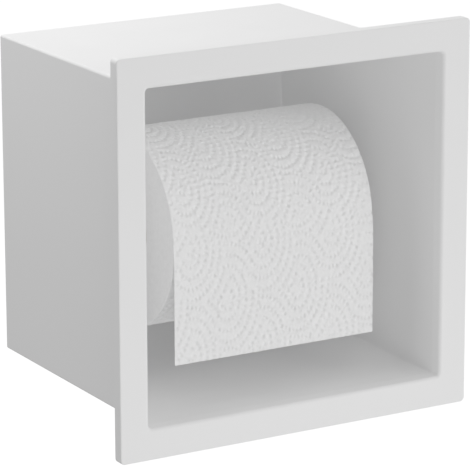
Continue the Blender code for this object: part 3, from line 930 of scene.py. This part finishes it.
WAVES = wave_dots(ON_ROLL, -ROLL_TURN, WAVE_BREAK) + wave_dots(ON_FREE_END, WAVE_BREAK, ROLL_TURN)
WAVES = spaced(WAVES, DOT_GAP)


def mark_dents(obj, height):
    """Store how deep each point lies in a dent, 0 to 1, for the paper's material, which bumps the dents and
    paints shade into them.
    """
    dent = obj.data.attributes.new("dent", "FLOAT", "POINT")
    dent.data.foreach_set("value", np.ravel(-height / DOT_DEPTH))
    return obj


def paper_windings():
    """The wound paper: embossed outside, slightly uneven layers at its ends."""
    around = int(2 * math.pi * PAPER_RADIUS / WINDING_CELL)
    across = int(2 * ROLL_HALF / WINDING_CELL)
    rings = 34
    bore = CORE_OUTER + CORE_GAP
    edge = WINDING_EDGE
    rng = np.random.default_rng(7)
    face_radius = np.linspace(PAPER_RADIUS - edge, bore, rings)
    face_depth = rng.uniform(0.0, LAYER_STEP, rings)
    corner = arc(ROLL_HALF - edge, PAPER_RADIUS - edge, edge, 90, 0, 4)[1:]
    xs = np.linspace(-ROLL_HALF + edge, ROLL_HALF - edge, across)
    path = [(x, PAPER_RADIUS, 1.0) for x in xs]
    path += [(x, r, 0.0) for x, r in corner]
    path += [(ROLL_HALF - d, r, 0.0) for r, d in zip(face_radius[1:], face_depth[1:])]
    path += [(-ROLL_HALF + d, r, 0.0) for r, d in zip(face_radius[:0:-1], face_depth[:0:-1])]
    path += [(-x, r, 0.0) for x, r in corner[::-1]]
    x = np.array([p[0] for p in path])[:, None]
    radius = np.array([p[1] for p in path])[:, None]
    outside = np.array([p[2] for p in path])[:, None]
    angle = np.linspace(-math.pi, math.pi, around, endpoint=False)[None, :]
    height = np.zeros((len(path), around))
    height[:across] = emboss(xs, angle[0] * PAPER_RADIUS).T
    height *= outside
    wander = np.sin(3 * angle + 90 * radius / PAPER_RADIUS) * (radius < PAPER_RADIUS - edge)
    wander *= LAYER_WANDER
    reach = radius + height
    y = ROLL_AXIS.y - reach * np.cos(angle)
    z = ROLL_AXIS.z - reach * np.sin(angle)
    shifted = x + wander * np.sign(-x)
    points = np.stack([shifted + 0 * y, y, z], axis=-1).reshape(-1, 3)
    faces = grid_faces(len(path), around, wrap_rows=True, wrap_columns=True)
    return mark_dents(solid("paper_windings", points, faces, sharp_deg=60), height)


def paper_free_end():
    """The embossed free end: it leaves the roll at the front and hangs straight down."""
    length = ROLL_AXIS.z - TAIL_LOW.z
    across = int(2 * ROLL_HALF / FREE_END_CELL)
    rows = int((length + OVERLAP) / FREE_END_CELL)
    x = np.linspace(-ROLL_HALF, ROLL_HALF, across)[None, :]
    s = np.linspace(-OVERLAP, length, rows)[:, None]
    height = emboss(x[0], s[:, 0]) * np.clip((length - s) / CUT_EDGE, 0, 1)
    on_roll = np.minimum(s, 0) / PAPER_RADIUS
    sunk = OVERLAP_SUNK * np.clip(-s / OVERLAP, 0, 1)
    leaving = np.clip((s + OVERLAP) / LIFT_LENGTH, 0, 1)
    lift = LIFT * leaving ** 2 * (3 - 2 * leaving)
    reach = PAPER_RADIUS + height - sunk + lift
    y = ROLL_AXIS.y - reach * np.cos(on_roll)
    z = ROLL_AXIS.z - reach * np.sin(on_roll) - np.maximum(s, 0)
    front = np.stack([x + 0 * y, y, z + 0 * x], axis=-1)
    back = front.copy()
    back[..., 1] += PAPER_THICKNESS
    points = np.vstack([front.reshape(-1, 3), back.reshape(-1, 3)])
    faces = grid_faces(rows, across)
    offset = rows * across
    faces += [[offset + i for i in face[::-1]] for face in faces]
    index = np.arange(offset).reshape(rows, across)
    border = np.concatenate([index[0, :-1], index[:-1, -1], index[-1, :0:-1], index[:0:-1, 0]]).tolist()
    for here, following in zip(border, border[1:] + border[:1]):
        faces.append([following, here, here + offset, following + offset])
    return mark_dents(solid("paper_free_end", points, faces, sharp_deg=60), np.stack([height, height]))


def core_tube():
    """The cardboard tube, with the spiral seam of its inner ply."""
    half = CORE_HIGH.x - CORE_INSET
    outer = CORE_OUTER
    inner = CORE_OUTER - CORE_WALL
    around, across = 200, 150
    angle = np.linspace(0, 2 * math.pi, around, endpoint=False)[None, :]
    x_in = np.linspace(half, -half, across)[:, None]
    phase = (x_in / SEAM_LEAD - angle / (2 * math.pi)) % 1.0
    from_seam = np.minimum(phase, 1 - phase) * SEAM_LEAD
    groove = SEAM_DEPTH * np.exp(-((from_seam / SEAM_WIDTH) ** 2))
    ply = PLY_STEP * (phase < 0.5)
    inside = inner + groove + ply - PLY_STEP / 2
    mouth = inner + CORE_CHAMFER
    edge = [(-half, mouth), (-half, outer), (half, outer), (half, mouth)]
    radius = np.vstack([inside] + [r + 0 * angle for _, r in edge])
    x = np.vstack([x_in + 0 * angle] + [e + 0 * angle for e, _ in edge])
    y = ROLL_AXIS.y + radius * np.cos(angle)
    z = ROLL_AXIS.z + radius * np.sin(angle)
    points = np.stack([x, y, z], axis=-1).reshape(-1, 3)
    faces = grid_faces(across + len(edge), around, wrap_rows=True, wrap_columns=True)
    return solid("core_tube", points, faces, sharp_deg=40)


def paper_pieces():
    finish_piece(core_tube(), BOARD, "roll", "core_cardboard", "cardboard_core")
    finish_piece(paper_windings(), TISSUE, "roll", "tissue_paper", "paper_roll")
    free_end = finish_piece(paper_free_end(), TISSUE, None, "tissue_paper", "paper_tail")
    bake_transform(free_end)


# ---------------------------------------------------------------- stage, lights and camera


def floor():
    half = FLOOR_SIZE / 2
    corners = [(-half, -half, FLOOR_Z), (half, -half, FLOOR_Z), (half, half, FLOOR_Z), (-half, half, FLOOR_Z)]
    mesh = bpy.data.meshes.new("studio_floor")
    mesh.from_pydata(corners, [], [(0, 1, 2, 3)])
    obj = link("studio_floor", mesh)
    mesh.materials.append(floor_material())


def direction(azimuth, elevation):
    """Unit vector from the object towards a place at this azimuth and elevation, in degrees."""
    a, e = math.radians(azimuth), math.radians(elevation)
    return Vector((math.sin(a) * math.cos(e), -math.cos(a) * math.cos(e), math.sin(e)))


def softbox(name, azimuth, elevation, distance, size, watts):
    """A square area light aimed at the object from the given direction."""
    data = bpy.data.lights.new(name, "AREA")
    data.shape = "SQUARE"
    data.size = size
    data.energy = watts
    obj = link(name, data)
    out = direction(azimuth, elevation)
    obj.location = out * distance
    obj.rotation_euler = out.to_track_quat("Z", "Y").to_euler()
    obj.visible_camera = False
    return obj


def studio():
    world = bpy.data.worlds.new("studio_world")
    bpy.context.scene.world = world
    world.use_nodes = True
    background = world.node_tree.nodes["Background"]
    background.inputs["Color"].default_value = (1, 1, 1, 1)
    background.inputs["Strength"].default_value = WORLD_LIGHT
    for name, values in SOFTBOXES.items():
        softbox(f"{name}_softbox", *values)
    floor()


def camera():
    data = bpy.data.cameras.new("photo_camera")
    data.sensor_width = SENSOR_WIDTH
    data.lens = CAMERA_LENS
    data.clip_end = CAMERA_REACH
    obj = link("photo_camera", data)
    out = direction(CAMERA_AZIMUTH, CAMERA_ELEVATION)
    obj.location = CAMERA_TARGET + out * CAMERA_DISTANCE
    level = out.to_track_quat("Z", "Y").to_matrix()
    obj.rotation_euler = (level @ Matrix.Rotation(math.radians(CAMERA_ROLL), 3, "Z")).to_euler()
    bpy.context.scene.camera = obj
    settings = bpy.context.scene.view_settings
    settings.view_transform = "Standard"
    settings.gamma = VIEW_GAMMA


camera()
box_pieces()
yoke_pieces()
spindle_pieces()
paper_pieces()
studio()
